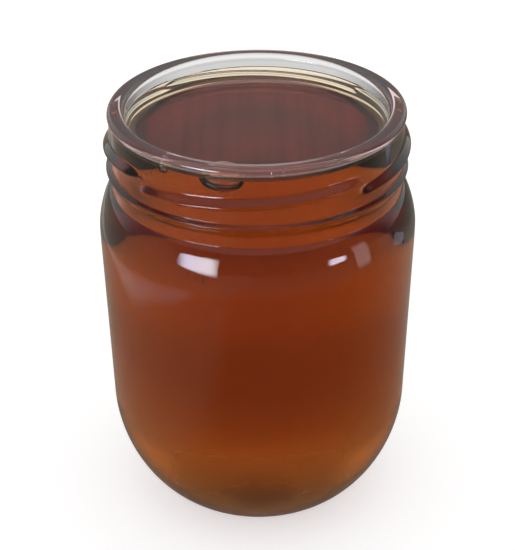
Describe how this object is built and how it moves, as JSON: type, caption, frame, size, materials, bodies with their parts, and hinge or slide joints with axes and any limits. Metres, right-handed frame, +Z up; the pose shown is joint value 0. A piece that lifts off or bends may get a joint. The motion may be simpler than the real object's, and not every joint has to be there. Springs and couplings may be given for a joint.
{
  "type": "honey jar",
  "caption": "Open round glass jar with a lugged twist-off neck, filled with clear amber honey to just below the rim.",
  "frame": {"origin": "centre of the base, on the surface that the bearing ring stands on", "axes": "+Z up through the mouth along the jar's axis, -Y to the front, +X to the right of the front view"},
  "size_m": [0.085, 0.085, 0.1162],
  "materials": {
    "clear_glass": "clear soda-lime glass, fire-polished, smooth",
    "amber_honey": "clear liquid honey, deep amber, wet gloss"
  },
  "bodies": {
    "root": {"jar": "clear_glass", "honey": "amber_honey"}
  },
  "joints": []
}
